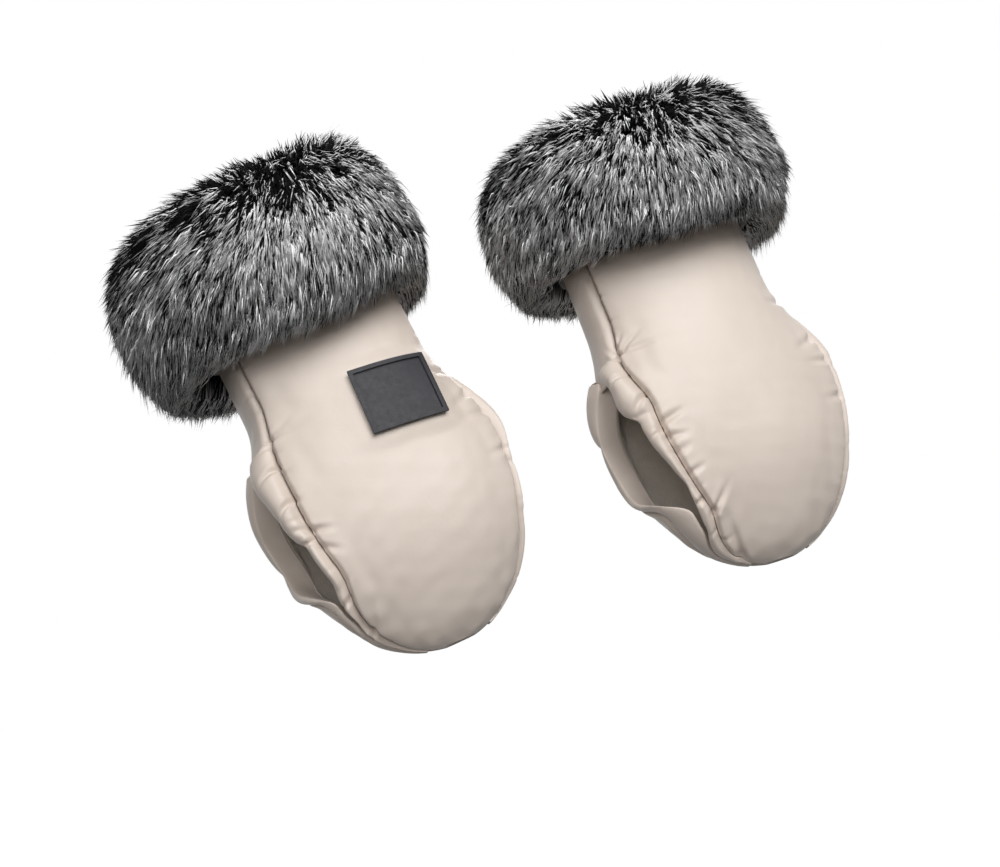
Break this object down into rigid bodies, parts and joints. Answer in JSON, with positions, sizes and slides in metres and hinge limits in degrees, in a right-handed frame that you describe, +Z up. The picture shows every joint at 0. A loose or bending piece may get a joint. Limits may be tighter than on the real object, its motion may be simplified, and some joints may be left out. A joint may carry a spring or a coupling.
{
  "type": "stroller hand muff pair",
  "caption": "Pair of padded mitten muffs with fur cuffs that clamp over a handlebar through side slits, with lower front flaps that open.",
  "frame": {"origin": "on the handlebar's axis, midway between the two muffs", "axes": "+X along the handlebar to the right muff, +Z up towards the cuffs; the fronts face -Y"},
  "size_m": [0.4753, 0.1732, 0.3352],
  "materials": {
    "nylon_shell": "satin beige padded nylon with a fine weave",
    "nylon_facing": "the same nylon, turned in and puckered",
    "wadding": "white polyester wadding",
    "fleece_lining": "beige fleece",
    "fur": "long-pile faux fur, dark roots and pale tips",
    "cuff_band": "stiffened backing band",
    "badge_rubber": "soft matt charcoal rubber",
    "snap_metal": "plain nickelled snap"
  },
  "bodies": {
    "left_muff": {"left_front_wrist_shell": "nylon_shell", "left_back_shell": "nylon_shell", "left_front_wrist_wadding": "wadding", "left_back_wadding": "wadding", "left_front_wrist_lining": "fleece_lining", "left_back_lining": "fleece_lining", "left_outer_side_band": "nylon_shell", "left_outer_front_lip_top": "nylon_facing", "left_outer_back_lip": "nylon_facing", "left_outer_snap_stud": "snap_metal", "left_outer_snap_post": "snap_metal", "left_inner_side_band": "nylon_shell", "left_inner_front_lip_top": "nylon_facing", "left_inner_back_lip": "nylon_facing", "left_inner_snap_stud": "snap_metal", "left_inner_snap_post": "snap_metal", "left_cuff_band": "cuff_band", "left_cuff_lining": "fleece_lining", "left_fur_cuff": "fur", "left_badge_plate": "badge_rubber", "left_badge_border": "badge_rubber"},
    "left_flap": {"left_front_flap_shell": "nylon_shell", "left_front_flap_wadding": "wadding", "left_front_flap_lining": "fleece_lining", "left_outer_front_lip": "nylon_facing", "left_outer_snap_cap": "snap_metal", "left_outer_snap_socket": "snap_metal", "left_inner_front_lip": "nylon_facing", "left_inner_snap_cap": "snap_metal", "left_inner_snap_socket": "snap_metal"},
    "right_muff": {"right_front_wrist_shell": "nylon_shell", "right_back_shell": "nylon_shell", "right_front_wrist_wadding": "wadding", "right_back_wadding": "wadding", "right_front_wrist_lining": "fleece_lining", "right_back_lining": "fleece_lining", "right_outer_side_band": "nylon_shell", "right_outer_front_lip_top": "nylon_facing", "right_outer_back_lip": "nylon_facing", "right_outer_snap_stud": "snap_metal", "right_outer_snap_post": "snap_metal", "right_inner_side_band": "nylon_shell", "right_inner_front_lip_top": "nylon_facing", "right_inner_back_lip": "nylon_facing", "right_inner_snap_stud": "snap_metal", "right_inner_snap_post": "snap_metal", "right_cuff_band": "cuff_band", "right_cuff_lining": "fleece_lining", "right_fur_cuff": "fur"},
    "right_flap": {"right_front_flap_shell": "nylon_shell", "right_front_flap_wadding": "wadding", "right_front_flap_lining": "fleece_lining", "right_outer_front_lip": "nylon_facing", "right_outer_snap_cap": "snap_metal", "right_outer_snap_socket": "snap_metal", "right_inner_front_lip": "nylon_facing", "right_inner_snap_cap": "snap_metal", "right_inner_snap_socket": "snap_metal"}
  },
  "joints": [
    {"name": "left_flap_hinge", "type": "hinge", "parent": "left_muff", "child": "left_flap", "pos_m": [-0.12384, -0.03557, 0.04447], "axis": [-0.9848, 0, -0.1736], "range_deg": [0, 65]},
    {"name": "right_flap_hinge", "type": "hinge", "parent": "right_muff", "child": "right_flap", "pos_m": [0.11364, -0.03557, 0.0451], "axis": [-0.9986, 0, -0.0523], "range_deg": [0, 65]},
    {"name": "right_muff_slide", "type": "slide", "parent": "left_muff", "child": "right_muff", "axis": [1, 0, 0], "range_m": [-0.03, 0.06]}
  ]
}
